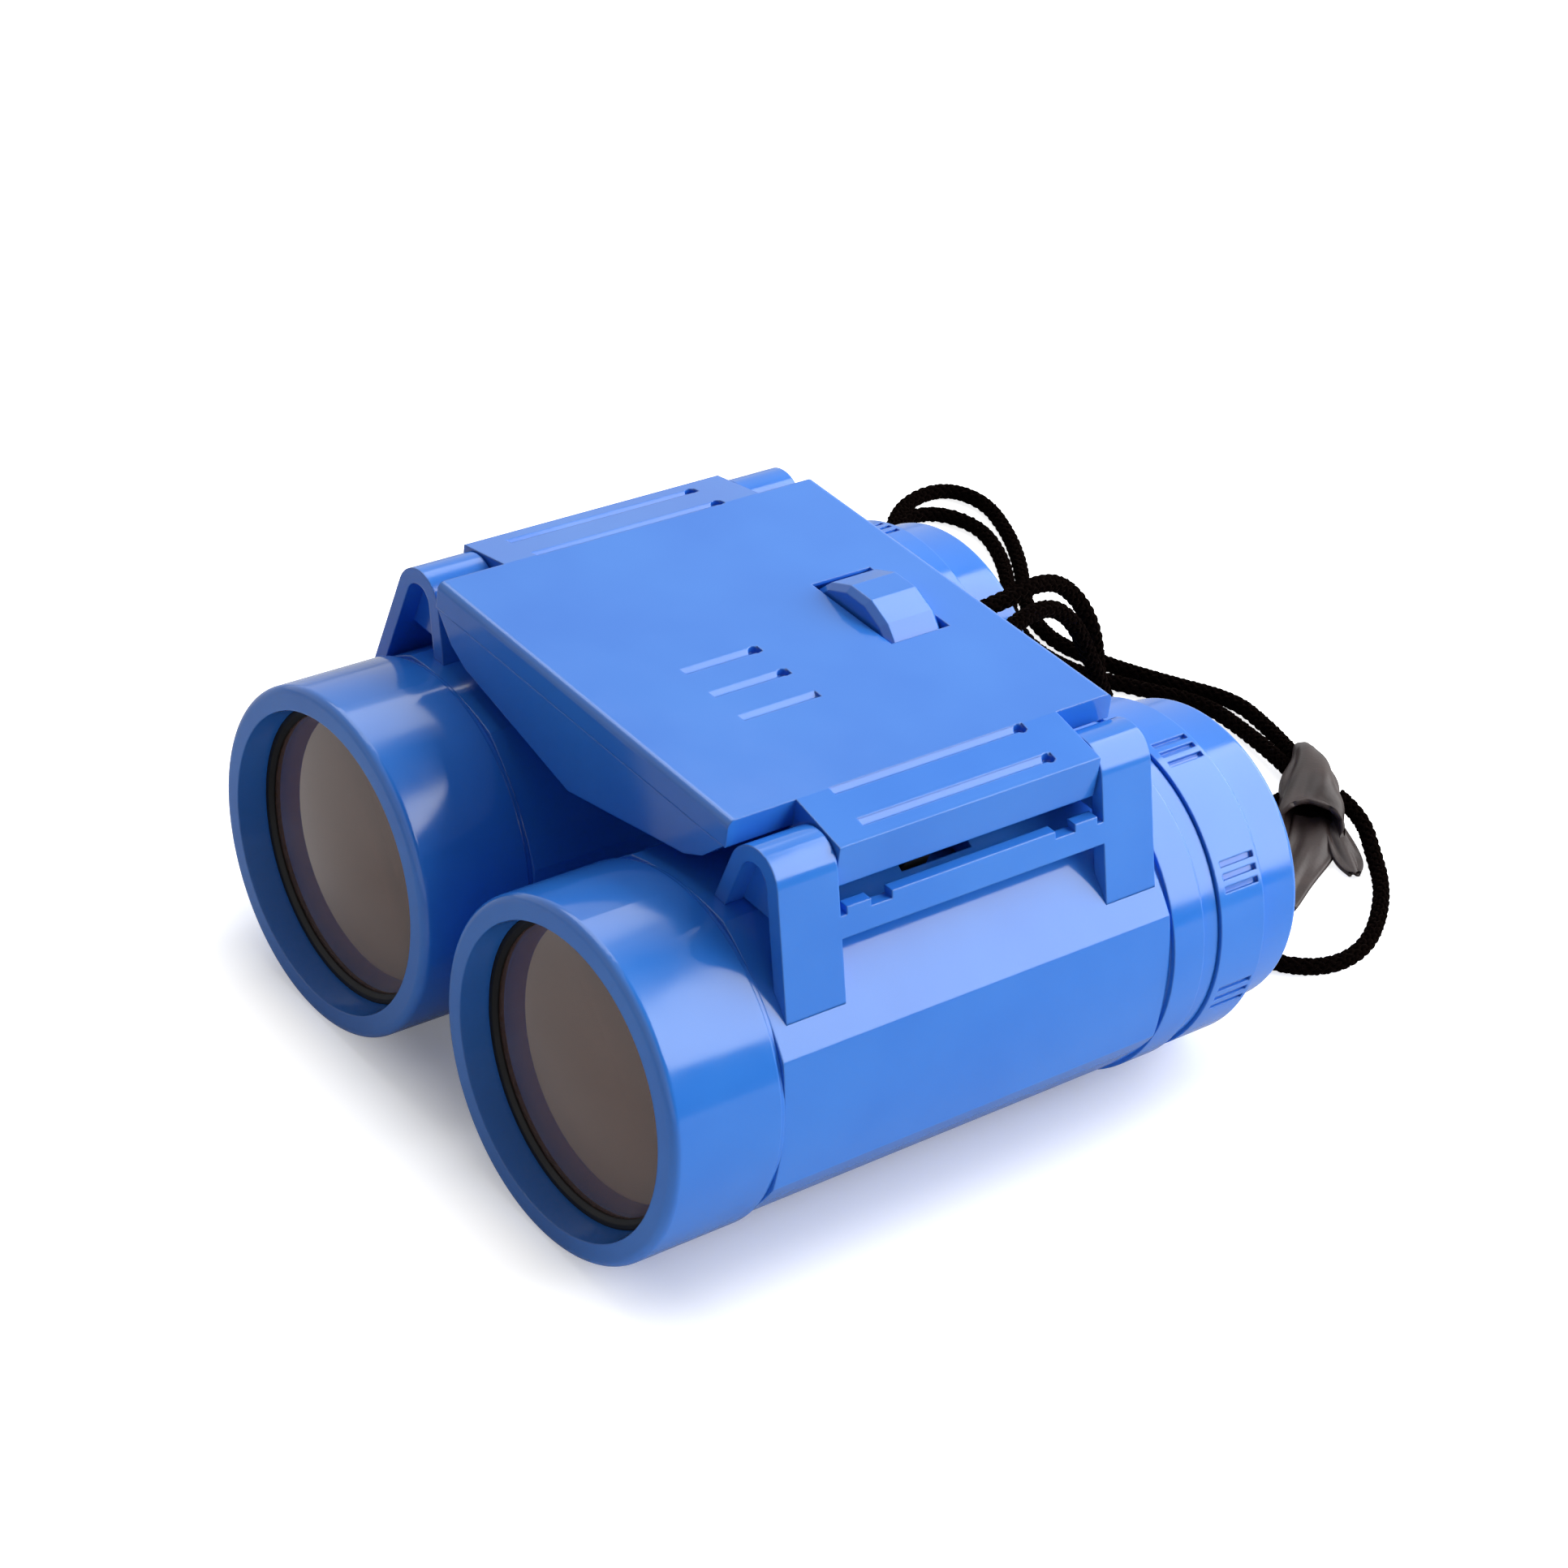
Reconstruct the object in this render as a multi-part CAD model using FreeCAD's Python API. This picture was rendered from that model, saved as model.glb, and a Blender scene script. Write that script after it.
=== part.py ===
import FreeCAD, Part
import math
import os

from FreeCAD import Vector

os.makedirs("parts", exist_ok=True)

# Toy binoculars in millimetres. +Z is up, the eyepieces face +Y and the objectives -Y.
# The origin is on the floor, under the middle of the length and the plane of symmetry.
# The left barrel, as its user holds it, is on +X, and each right piece is its mirror.

# Lengths along the barrel, from the front rim to the rear
bell_length = 16.3
body_length = 61.1
collar_gap = 0.6
collar_length = 5.6
neck_length = 2.5
grip_gap = 0.3
grip_length = 8.1
eyecup_length = 7.5

# The bell's radius, and how far the other round pieces stand outside it or step in from it
bell_r = 23.0
body_proud = 0.3
side_sink = 0.8
body_wall = 2.5
tube_step = 1.1
tube_wall = 1.4
neck_step = 0.7
grip_step = 0.3
eyecup_step = 2.4

# Hinge axes, one over each barrel and parallel to it, and half of the space between the barrels
barrel_space = 2.13
hinge_offset = 9.17
hinge_lift = 5.0
pin_r = 1.5

# The bridge's length against the bodies', and the notches in its corners for the brackets' arches
bridge_setback = 1.3
front_notch_length = 9.9
rear_notch_length = 9.3

# Clearances and the overrun of the cuts
seat_gap = 0.05
running_gap = 0.08
axial_gap = 0.3
slide_gap = 0.25
overrun = 5.0

# Focusing
focus_travel = 6.0

length_parts = [bell_length, body_length, collar_gap, collar_length]
length_parts += [neck_length, grip_gap, grip_length, eyecup_length]
overall_length = sum(length_parts)

body_r = bell_r + body_proud
body_side_r = body_r - side_sink
bore_r = body_side_r - body_wall
tube_r = bore_r - tube_step
collar_r = bell_r
neck_r = bell_r - neck_step
grip_r = bell_r - grip_step
eyecup_r = bell_r - eyecup_step

barrel_x = body_r + barrel_space
barrel_z = bell_r
hinge_rise = body_r + hinge_lift
hinge_x = barrel_x + hinge_offset
hinge_z = barrel_z + hinge_rise
hinge_reach = math.hypot(hinge_offset, hinge_rise)
fold_angle = math.degrees(math.atan2(hinge_offset, hinge_rise))

y_front = -overall_length / 2
y_body = y_front + bell_length
y_body_end = y_body + body_length
y_collar = y_body_end + collar_gap
y_neck = y_collar + collar_length
y_neck_end = y_neck + neck_length
y_grip = y_neck_end + grip_gap
y_eyecup = y_grip + grip_length
y_rear = y_eyecup + eyecup_length
y_plate = y_body + bridge_setback
y_plate_end = y_body_end
y_tongue = y_plate + front_notch_length
y_tongue_end = y_plate_end - rear_notch_length


def cylinder(y0, y1, r, x=0, z=0):
    """A round bar along Y."""
    return Part.makeCylinder(r, y1 - y0, Vector(x, y0, z), Vector(0, 1, 0))


def upright(z0, z1, r, x, y):
    """A round bar along Z."""
    return Part.makeCylinder(r, z1 - z0, Vector(x, y, z0), Vector(0, 0, 1))


def tube(y0, y1, r_out, r_in, x=0, z=0):
    return cylinder(y0, y1, r_out, x, z).cut(cylinder(y0 - overrun, y1 + overrun, r_in, x, z))


def box(x0, x1, y0, y1, z0, z1):
    return Part.makeBox(x1 - x0, y1 - y0, z1 - z0, Vector(x0, y0, z0))


def prism(outline, y0, y1):
    """Extrudes a closed outline of (x, z) points along Y."""
    points = [Vector(x, y0, z) for x, z in outline]
    face = Part.Face(Part.makePolygon(points + points[:1]))
    return face.extrude(Vector(0, y1 - y0, 0))


def lathe(profile, x, z):
    """Turns a closed profile of (radius, y) points about an axis along Y."""
    points = [Vector(x + r, y, z) for r, y in profile]
    face = Part.Face(Part.makePolygon(points + points[:1]))
    return face.revolve(Vector(x, 0, z), Vector(0, 1, 0), 360)


def mirrored(outline):
    """Closes a right-hand outline with its own mirror in the plane of symmetry."""
    return outline + [(-x, z) for x, z in reversed(outline) if x > 0]


def is_rim(edge, y, r):
    """True for a round edge of that radius, in that plane across the barrel."""
    curve = edge.Curve
    if not isinstance(curve, Part.Circle):
        return False
    same_plane = math.isclose(curve.Center.y, y, abs_tol=seat_gap)
    return same_plane and math.isclose(curve.Radius, r, abs_tol=seat_gap)


def round_rim(shape, radius, y, r):
    edges = [edge for edge in shape.Edges if is_rim(edge, y, r)]
    return shape.makeFillet(radius, edges)


def chamfer_rim(shape, size, y, r):
    edges = [edge for edge in shape.Edges if is_rim(edge, y, r)]
    return shape.makeChamfer(size, edges)


def toward_hinge(shape):
    """Places a shape made with the barrel's axis at the origin and the hinge above it."""
    shape.rotate(Vector(0, 0, 0), Vector(0, 1, 0), fold_angle)
    shape.translate(Vector(barrel_x, 0, barrel_z))
    return shape


def save(shape, name):
    solids = shape.Solids
    result = solids[0] if len(solids) == 1 else Part.makeCompound(solids)
    result.exportStep("parts/" + name + ".step")
    print(name, len(solids), round(result.Volume, 1), result.isValid())


def save_pair(shape, name):
    """Writes the left barrel's piece and its mirror for the right barrel."""
    save(shape, "left_" + name)
    save(shape.mirror(Vector(0, 0, 0), Vector(1, 0, 0)), "right_" + name)


# Objective bell, with the lens and the ring that hold against its inner shoulder
rim_width = 3.1
rim_round = 1.1
seat_depth = 6.9
lens_edge = 1.9
ring_thickness = 1.0
lens_step = 3.4
lens_sagitta = 2.3
ring_width = 1.2
shoulder_width = 1.8
shoulder_depth = 1.2
spigot_wall = 1.0
spigot_gap = 0.4
spigot_root = 1.2
bell_step = 0.3
bell_step_length = 0.7

lens_r = bell_r - lens_step
ring_inner_r = lens_r - ring_width
shoulder_r = lens_r - shoulder_width
spigot_r = bore_r + spigot_wall
y_seat = y_front + seat_depth
y_lens_front = y_seat - lens_edge
y_ring_front = y_lens_front - ring_thickness


def objective_bell():
    bell = cylinder(y_front, y_body, bell_r, barrel_x, barrel_z)
    mouth_r = bell_r - rim_width
    profile = [(0, y_front - overrun), (mouth_r, y_front - overrun), (mouth_r, y_front)]
    profile += [(lens_r, y_ring_front), (lens_r, y_seat), (0, y_seat)]
    bell = bell.cut(lathe(profile, barrel_x, barrel_z))
    bell = bell.cut(cylinder(y_seat - overrun, y_body + overrun, shoulder_r, barrel_x, barrel_z))
    socket = cylinder(y_seat + shoulder_depth, y_body + overrun, spigot_r + seat_gap, barrel_x, barrel_z)
    bell = bell.cut(socket)
    bell = round_rim(bell, rim_round, y_front, bell_r)
    step_r = bell_r - bell_step
    groove = tube(y_body - bell_step_length, y_body + overrun, bell_r + overrun, step_r, barrel_x, barrel_z)
    return bell.cut(groove)


def objective_lens():
    blank = cylinder(y_lens_front - lens_sagitta, y_seat, lens_r - seat_gap, barrel_x, barrel_z)
    sphere_r = (lens_r ** 2 + lens_sagitta ** 2) / (2 * lens_sagitta)
    centre = Vector(barrel_x, y_lens_front - lens_sagitta + sphere_r, barrel_z)
    return blank.common(Part.makeSphere(sphere_r, centre))


def lens_ring():
    ring_outer_r = lens_r - seat_gap
    profile = [(ring_outer_r, y_ring_front), (ring_outer_r, y_lens_front)]
    profile += [(ring_inner_r, y_lens_front), (ring_inner_r, y_lens_front - ring_thickness / 2)]
    profile += [(ring_inner_r + ring_thickness / 2, y_ring_front)]
    ring = lathe(profile, barrel_x, barrel_z)
    return ring.cut(objective_lens())


# Eight-sided barrel body, with one corner towards its hinge and a slot there for the focus arm
arm_ring_length = 4.0
arm_collar_length = 3.0
arm_gap = 0.15
arm_width = 2.0
slot_gap = 0.5
side_count = 8

# At rest the arm stands half of its travel ahead of the tongues' middle
y_spigot = y_seat + shoulder_depth + spigot_gap
y_arm = (y_tongue + y_tongue_end - focus_travel - arm_ring_length) / 2
y_arm_end = y_arm + arm_ring_length
y_carriage = y_arm - arm_gap - arm_collar_length
y_carriage_end = y_arm_end + arm_gap + arm_collar_length
y_tube = y_carriage + arm_gap


def body_point(r, turn, y):
    """A point at a radius from the barrel's axis, turned in sides from the hinge's direction."""
    angle = math.radians(fold_angle + turn * 360 / side_count)
    return Vector(barrel_x + r * math.sin(angle), y, barrel_z + r * math.cos(angle))


def octagon_bar():
    """The body's outer form, whose eight sides are slightly full between their corners."""
    edges = []
    for side in range(side_count):
        start = body_point(body_r, side, y_body)
        middle = body_point(body_side_r, side + 1 / 2, y_body)
        end = body_point(body_r, side + 1, y_body)
        edges.append(Part.Arc(start, middle, end).toShape())
    face = Part.Face(Part.Wire(edges))
    return face.extrude(Vector(0, y_body_end - y_body, 0))


def barrel_body():
    body = octagon_bar().fuse(cylinder(y_spigot, y_body + spigot_root, spigot_r, barrel_x, barrel_z))
    body = body.cut(cylinder(y_spigot - overrun, y_body_end + overrun, bore_r, barrel_x, barrel_z))
    half_slot = arm_width / 2 + slot_gap
    slot = box(-half_slot, half_slot, y_arm - slot_gap, y_arm_end + focus_travel + slot_gap,
               tube_r, body_r + overrun)
    return body.cut(toward_hinge(slot)).removeSplitter()


# Black tube behind the objective lens, closed to a round window at its rear
baffle_wall = 1.0
baffle_step = 9.0


def light_baffle():
    baffle_r = bore_r - axial_gap
    baffle_window_r = bore_r - baffle_step
    y_baffle = y_seat + shoulder_depth
    y_baffle_end = y_tube - slot_gap
    profile = [(baffle_r, y_baffle), (baffle_r, y_baffle_end), (baffle_window_r, y_baffle_end)]
    profile += [(baffle_window_r, y_baffle_end - baffle_wall)]
    profile += [(baffle_r - baffle_wall, y_baffle_end - baffle_wall), (baffle_r - baffle_wall, y_baffle)]
    return lathe(profile, barrel_x, barrel_z)


# Rear collar, pressed into the body, whose bore guides the eyepiece tube
collar_spigot = 7.0
collar_chamfer = 0.5


def rear_collar():
    collar = cylinder(y_collar, y_neck, collar_r, barrel_x, barrel_z)
    collar = chamfer_rim(collar, collar_chamfer, y_neck, collar_r)
    collar = collar.fuse(cylinder(y_collar - collar_gap, y_neck_end, neck_r, barrel_x, barrel_z))
    y_spigot_front = y_body_end - collar_spigot
    collar = collar.fuse(cylinder(y_spigot_front, y_collar, bore_r - seat_gap, barrel_x, barrel_z))
    bore = cylinder(y_spigot_front - overrun, y_neck_end + overrun, tube_r + slide_gap, barrel_x, barrel_z)
    return collar.cut(bore).removeSplitter()


# Hinge bracket: two A-shaped arches that straddle the barrel, joined by a rail
lug_r = 4.5
lug_wall = 2.0
leg_angle = 16.5
leg_root = 6.3
web_drop = 5.6
web_thickness = 3.6
front_lug_inset = 0.7
rear_lug_inset = 0.9
rail_top_drop = 3.3
rail_bottom_drop = 6.9
rail_thickness = 1.5
rail_notch_depth = 0.9
rail_notch_length = 3.2
rail_tab_length = 3.6
rail_end_gap = 1.0

leg_drop = hinge_rise - leg_root
lug_spans = [(y_plate + front_lug_inset, y_tongue - axial_gap)]
lug_spans += [(y_tongue_end + axial_gap, y_plate_end - rear_lug_inset)]


def leg_x(r, drop):
    """Half width of an arch of top radius r, at a depth below the hinge axis."""
    slope = math.radians(leg_angle)
    return (r + drop * math.sin(slope)) / math.cos(slope)


def arch(r, y0, y1):
    """A round top with straight legs that spread downwards."""
    slope = math.radians(leg_angle)
    top_x = r * math.cos(slope)
    top_z = r * math.sin(slope)
    foot_x = leg_x(r, leg_drop)
    outline = [(hinge_x - foot_x, hinge_z - leg_drop), (hinge_x - top_x, hinge_z + top_z)]
    outline += [(hinge_x + top_x, hinge_z + top_z), (hinge_x + foot_x, hinge_z - leg_drop)]
    return prism(outline, y0, y1).fuse(cylinder(y0, y1, r, hinge_x, hinge_z))


def hinge_lug(y0, y1):
    band = arch(lug_r, y0, y1)
    hollow = arch(lug_r - lug_wall, y0 - overrun, y1 + overrun)
    middle = (y0 + y1) / 2
    web_space = box(hinge_x - hinge_reach, hinge_x + hinge_reach, middle - web_thickness / 2,
                    middle + web_thickness / 2, hinge_z - web_drop, hinge_z + lug_r + overrun)
    return band.cut(hollow.cut(web_space))


def hinge_rail():
    top = hinge_z - rail_top_drop
    bottom = hinge_z - rail_bottom_drop
    outer_top = hinge_x + leg_x(lug_r, rail_top_drop)
    outer_bottom = hinge_x + leg_x(lug_r, rail_bottom_drop)
    outline = [(outer_top, top), (outer_bottom, bottom)]
    outline += [(outer_bottom - rail_thickness, bottom), (outer_top - rail_thickness, top)]
    rail = prism(outline, lug_spans[0][1], lug_spans[1][0])
    for face, inward in ((lug_spans[0][1], 1), (lug_spans[1][0], -1)):
        tab = face + inward * rail_end_gap
        far = tab + inward * rail_tab_length
        for start, end in ((face, tab), (far, far + inward * rail_notch_length)):
            rail = rail.cut(box(hinge_x, outer_bottom + overrun, min(start, end), max(start, end),
                                top - rail_notch_depth, top + overrun))
    return rail


def hinge_bracket():
    bracket = hinge_rail()
    for y0, y1 in lug_spans:
        bracket = bracket.fuse(hinge_lug(y0, y1))
    bracket = bracket.cut(octagon_bar())
    bracket = bracket.cut(cylinder(y_front, y_rear, pin_r + seat_gap, hinge_x, hinge_z))
    kept = max(bracket.Solids, key=lambda solid: solid.Volume)
    return kept.removeSplitter()


def hinge_pin():
    """A plain pin from the front arch's web to the rear arch's web."""
    front = sum(lug_spans[0]) / 2 - web_thickness / 2
    rear = sum(lug_spans[1]) / 2 + web_thickness / 2
    return cylinder(front, rear, pin_r, hinge_x, hinge_z)


# Sliding eyepiece: the tube, its focus arm, the grip ring, the eyecup and the ocular lens
arm_ring_r = 2.5
ocular_step = 6.4
ocular_thickness = 3.0
ocular_wall = 1.0
eyecup_spigot = 5.0
eyecup_wall = 2.6
eyecup_round = 0.8
eyecup_lip = 0.8
grip_chamfer = 0.6
grooves_per_group = 3
groove_pitch_angle = 4.2
groove_turn = 4.7
groove_width = 0.8
groove_depth = 0.5
groove_margin = 1.2

ocular_r = tube_r - ocular_step
eyecup_mouth_r = eyecup_r - eyecup_wall
y_tube_end = y_eyecup
y_ocular = y_eyecup - eyecup_spigot + ocular_wall


def eyepiece_tube():
    return tube(y_tube, y_tube_end, tube_r, tube_r - tube_wall, barrel_x, barrel_z)


def focus_arm():
    """A ring on the hinge pin, with a blade through the body's slot to the tube."""
    blade = box(-arm_width / 2, arm_width / 2, y_arm, y_arm_end, tube_r - tube_wall, hinge_reach)
    arm = blade.fuse(cylinder(y_arm, y_arm_end, arm_ring_r, 0, hinge_reach))
    arm = arm.cut(cylinder(y_arm - overrun, y_arm_end + overrun, pin_r + running_gap, 0, hinge_reach))
    arm = toward_hinge(arm)
    return arm.cut(cylinder(y_front, y_rear, tube_r + seat_gap, barrel_x, barrel_z))


def grip_ring():
    ring = tube(y_grip, y_eyecup, grip_r, tube_r + seat_gap, barrel_x, barrel_z)
    ring = chamfer_rim(ring, grip_chamfer, y_eyecup, grip_r)
    for group in range(side_count):
        for index in range(grooves_per_group):
            step = (index - (grooves_per_group - 1) / 2) * groove_pitch_angle
            angle = fold_angle - groove_turn + group * 360 / side_count + step
            groove = box(-groove_width / 2, groove_width / 2, y_grip + groove_margin,
                         y_eyecup - groove_margin, grip_r - groove_depth, grip_r + overrun)
            groove.rotate(Vector(0, 0, 0), Vector(0, 1, 0), angle)
            groove.translate(Vector(barrel_x, 0, barrel_z))
            ring = ring.cut(groove)
    return ring


def eyecup():
    spigot_out = tube_r - tube_wall - seat_gap
    y_stop = y_ocular + ocular_thickness
    profile = [(spigot_out, y_eyecup - eyecup_spigot), (spigot_out, y_eyecup), (eyecup_r, y_eyecup)]
    profile += [(eyecup_r, y_rear), (eyecup_mouth_r, y_rear)]
    profile += [(eyecup_mouth_r - eyecup_lip, y_rear - eyecup_lip)]
    profile += [(ocular_r - ocular_wall, y_stop + ocular_wall), (ocular_r - ocular_wall, y_stop)]
    profile += [(ocular_r + seat_gap, y_stop), (ocular_r + seat_gap, y_eyecup - eyecup_spigot)]
    cup = lathe(profile, barrel_x, barrel_z)
    return round_rim(cup, eyecup_round, y_rear, eyecup_r)


def ocular_lens():
    """A lens that is hollow on its outer face, as in a simple two-lens telescope."""
    blank = cylinder(y_ocular, y_ocular + ocular_thickness, ocular_r, barrel_x, barrel_z)
    hollow_r = ocular_r * 2
    centre = Vector(barrel_x, y_ocular + ocular_thickness - ocular_wall + hollow_r, barrel_z)
    return blank.cut(Part.makeSphere(hollow_r, centre))


for piece in (objective_bell, objective_lens, lens_ring, barrel_body, light_baffle, rear_collar,
              hinge_bracket, hinge_pin, eyepiece_tube, focus_arm, grip_ring, eyecup, ocular_lens):
    save_pair(piece(), piece.__name__)


# Bridge between the barrels: a top cover over a V-shaped lower cover
plate_rise = 5.7
tongue_overhang = 3.8
tongue_slope = 1.7
tongue_sink = 1.5
lid_height = 3.6
cover_t = 1.6
tongue_wall = 1.0
pin_boss_r = 3.0
plate_round = 1.0
wheel_setback = 12.85
wheel_r = 10.0
wheel_width = 8.8
wheel_drop = 3.4
wheel_gap = 0.35
slot_half = 8.0
wedge_inset = 0.4
wedge_depth = 9.8

# Outline of the lower cover from its middle to its side, as shares of its half width and its depth
wedge_x_shares = [0, 0.425, 0.772, 0.884, 1]
wedge_depth_shares = [1, 0.735, 0.52, 0.347, 0]

# Engraved grooves of the top cover
groove_front_margin = 5.0
groove_rear_margin = 5.6
short_groove_length = 11.8
top_groove_width = 1.4
top_groove_depth = 0.5
dot_r = 0.8
dot_depth = 0.9
long_groove_inset = 0.6
long_groove_pitch = 5.5
long_groove_count = 2
short_groove_x = 1.2
short_groove_pitch = 5.8
short_groove_count = 3

# Screws that hold the two covers together
screw_side_inset = 11.8
screw_inset = 6.4
boss_r = 2.7
lower_boss_r = 3.2
boss_drop = 2.4
screw_shank_r = 1.2
screw_hole_gap = 0.15
screw_head_r = 2.2
screw_head_t = 1.3
screw_tip_gap = 1.4
head_floor = 2.0

# Bearings and shaft of the focus wheel
journal_r = 2.0
shaft_r = 2.5
bearing_length = 2.2
bearing_half = 4.0
saddle_mouth = 1.8
keeper_half = 1.5
bearing_inset = 2.5
bearing_gap = 0.25

plate_half = hinge_x - lug_r - axial_gap
tongue_half = hinge_x + tongue_overhang
wedge_half = plate_half - wedge_inset
screw_x = plate_half - screw_side_inset
long_groove_x = plate_half + long_groove_inset
long_groove_length = y_tongue_end - groove_rear_margin - y_tongue - groove_front_margin
plate_z = hinge_z + plate_rise
tongue_edge_z = plate_z - tongue_slope
tongue_bottom_z = hinge_z - tongue_sink
seam_z = plate_z - lid_height
wedge_z = seam_z - wedge_depth
boss_meet_z = seam_z - boss_drop
wheel_z = seam_z - wheel_drop
y_wheel = y_plate_end - wheel_setback
y_wheel_front = y_wheel - wheel_width / 2
y_wheel_rear = y_wheel + wheel_width / 2
y_bearings = [y_tongue + bearing_inset, y_wheel_rear + wheel_gap + axial_gap]
screw_spots = []
for x_sign in (1, -1):
    for y_spot in (y_plate + screw_inset, y_plate_end - screw_inset):
        screw_spots.append((x_sign * screw_x, y_spot))


def surface_z(x):
    """Height of the cover's outer face, flat in the middle and sloping on the tongues."""
    slope = (plate_z - tongue_edge_z) / (tongue_half - plate_half)
    return plate_z - slope * max(0, abs(x) - plate_half)


def tongue_outline(wall, side_wall, bottom_z):
    """The cover's section between the arches, moved inwards by its walls."""
    edge_x = tongue_half - side_wall
    return mirrored([(plate_half, plate_z - wall), (edge_x, surface_z(edge_x) - wall), (edge_x, bottom_z)])


def wheel_space():
    """What the focus wheel turns in, cut from both covers."""
    return cylinder(y_wheel_front - wheel_gap, y_wheel_rear + wheel_gap, wheel_r + wheel_gap, 0, wheel_z)


def groove_cut(x, length, dotted):
    """One engraved line of V section, with a deeper dot at its rear end if it has one."""
    y0 = y_tongue + groove_front_margin
    surface = surface_z(x)
    half = top_groove_width / 2
    outline = [(x - half, surface + overrun), (x - half, surface), (x, surface - top_groove_depth)]
    outline += [(x + half, surface), (x + half, surface + overrun)]
    cut = prism(outline, y0, y0 + length)
    if dotted:
        cut = cut.fuse(upright(surface - dot_depth, surface + overrun, dot_r, x, y0 + length - dot_r))
    return cut


def round_plate(cover):
    """Rounds the plate's front and rear top edges."""
    edges = []
    for edge in cover.Edges:
        span = edge.BoundBox
        on_top = math.isclose(span.ZMin, plate_z, abs_tol=seat_gap)
        if on_top and span.XLength > plate_half:
            edges.append(edge)
    return cover.makeFillet(plate_round, edges)


def top_cover():
    cover = prism(tongue_outline(0, 0, tongue_bottom_z), y_tongue, y_tongue_end)
    cover = cover.fuse(box(-plate_half, plate_half, y_plate, y_plate_end, seam_z, plate_z))
    inner = prism(tongue_outline(cover_t, tongue_wall, tongue_bottom_z - overrun),
                  y_tongue + cover_t, y_tongue_end - cover_t)
    lid = box(-plate_half + cover_t, plate_half - cover_t, y_plate + cover_t, y_plate_end - cover_t,
              seam_z - overrun, plate_z - cover_t)
    wedge_room = wedge_half + seat_gap
    trim = box(-wedge_room, wedge_room, y_plate - overrun, y_plate_end + overrun,
               tongue_bottom_z - overrun, seam_z)
    for cut in (inner, lid, trim):
        cover = cover.cut(cut)
    cover = round_plate(cover)
    for side in (1, -1):
        for y0 in (y_tongue, y_tongue_end - cover_t):
            boss = cylinder(y0, y0 + cover_t, pin_boss_r, side * hinge_x, hinge_z)
            cover = cover.fuse(boss)
        cover = cover.cut(cylinder(y_front, y_rear, pin_r + running_gap, side * hinge_x, hinge_z))
    for x, y in screw_spots:
        cover = cover.fuse(upright(boss_meet_z, plate_z - cover_t, boss_r, x, y))
        cover = cover.cut(upright(boss_meet_z - overrun, plate_z - cover_t - screw_hole_gap,
                                  screw_shank_r + seat_gap, x, y))
    for y in y_bearings:
        keeper = box(-keeper_half, keeper_half, y, y + bearing_length, wheel_z + journal_r + running_gap,
                     plate_z - cover_t)
        cover = cover.fuse(keeper)
    slot = box(-slot_half, slot_half, y_wheel_front - wheel_gap, y_wheel_rear + wheel_gap,
               seam_z - overrun, plate_z + overrun)
    cover = cover.cut(slot).cut(wheel_space())
    for index in range(long_groove_count):
        x = long_groove_x + index * long_groove_pitch
        cover = cover.cut(groove_cut(x, long_groove_length, True))
        cover = cover.cut(groove_cut(-x, long_groove_length, True))
    for index in range(short_groove_count):
        x = short_groove_x + index * short_groove_pitch
        cover = cover.cut(groove_cut(x, short_groove_length, index + 1 < short_groove_count))
    return cover.removeSplitter()


def wedge_outline(lift):
    """The lower cover's section, open at the seam, moved up by its wall."""
    outline = []
    for x_share, depth_share in zip(wedge_x_shares, wedge_depth_shares):
        outline.append((x_share * wedge_half, seam_z - depth_share * wedge_depth + lift))
    return mirrored(outline)


# Neck cord, its bushes and its knots, from the bridge's rear wall
cord_r = 1.3
bush_x = 3.2
bush_drop = 5.0
bush_flange_r = 2.9
bush_flange_t = 0.8
bush_wall = 0.5
bush_tail = 0.6
end_knot_r = 1.9
end_knot_length = 2.8

# Side windows of the lower cover, through which the carriage reaches the hinge pins
window_width = 7.1
window_drop = 3.4

bush_z = seam_z - bush_drop
window_x = plate_half - window_width
window_z = seam_z - window_drop


def lower_cover():
    cover = prism(wedge_outline(0), y_plate, y_plate_end)
    inner = prism(wedge_outline(cover_t), y_plate + cover_t, y_plate_end - cover_t)
    cover = cover.cut(inner)
    body = prism(wedge_outline(0), y_plate, y_plate_end)
    for y in y_bearings:
        rib = box(-bearing_half, bearing_half, y, y + bearing_length, wedge_z, seam_z)
        saddle = cylinder(y - overrun, y + bearing_length + overrun, journal_r + running_gap, 0, wheel_z)
        mouth = box(-saddle_mouth, saddle_mouth, y - overrun, y + bearing_length + overrun,
                    wheel_z, seam_z + overrun)
        cover = cover.fuse(rib.common(body).cut(saddle).cut(mouth))
    for x, y in screw_spots:
        boss = upright(wedge_z, boss_meet_z, lower_boss_r, x, y).common(body)
        cover = cover.fuse(boss)
        cover = cover.cut(upright(wedge_z - overrun, boss_meet_z + overrun,
                                  screw_shank_r + screw_hole_gap, x, y))
        cover = cover.cut(upright(wedge_z - overrun, boss_meet_z - head_floor,
                                  screw_head_r + screw_hole_gap, x, y))
    for side in (1, -1):
        inner_x, outer_x = sorted([side * window_x, side * (plate_half + overrun)])
        window = box(inner_x, outer_x, y_carriage - slot_gap, y_carriage_end + focus_travel + slot_gap,
                     window_z, seam_z + overrun)
        cover = cover.cut(window)
        hole_r = cord_r + bush_wall + 2 * seat_gap
        hole = cylinder(y_plate_end - cover_t - overrun, y_plate_end + overrun, hole_r, side * bush_x, bush_z)
        cover = cover.cut(hole)
    return cover.cut(wheel_space()).removeSplitter()


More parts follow.
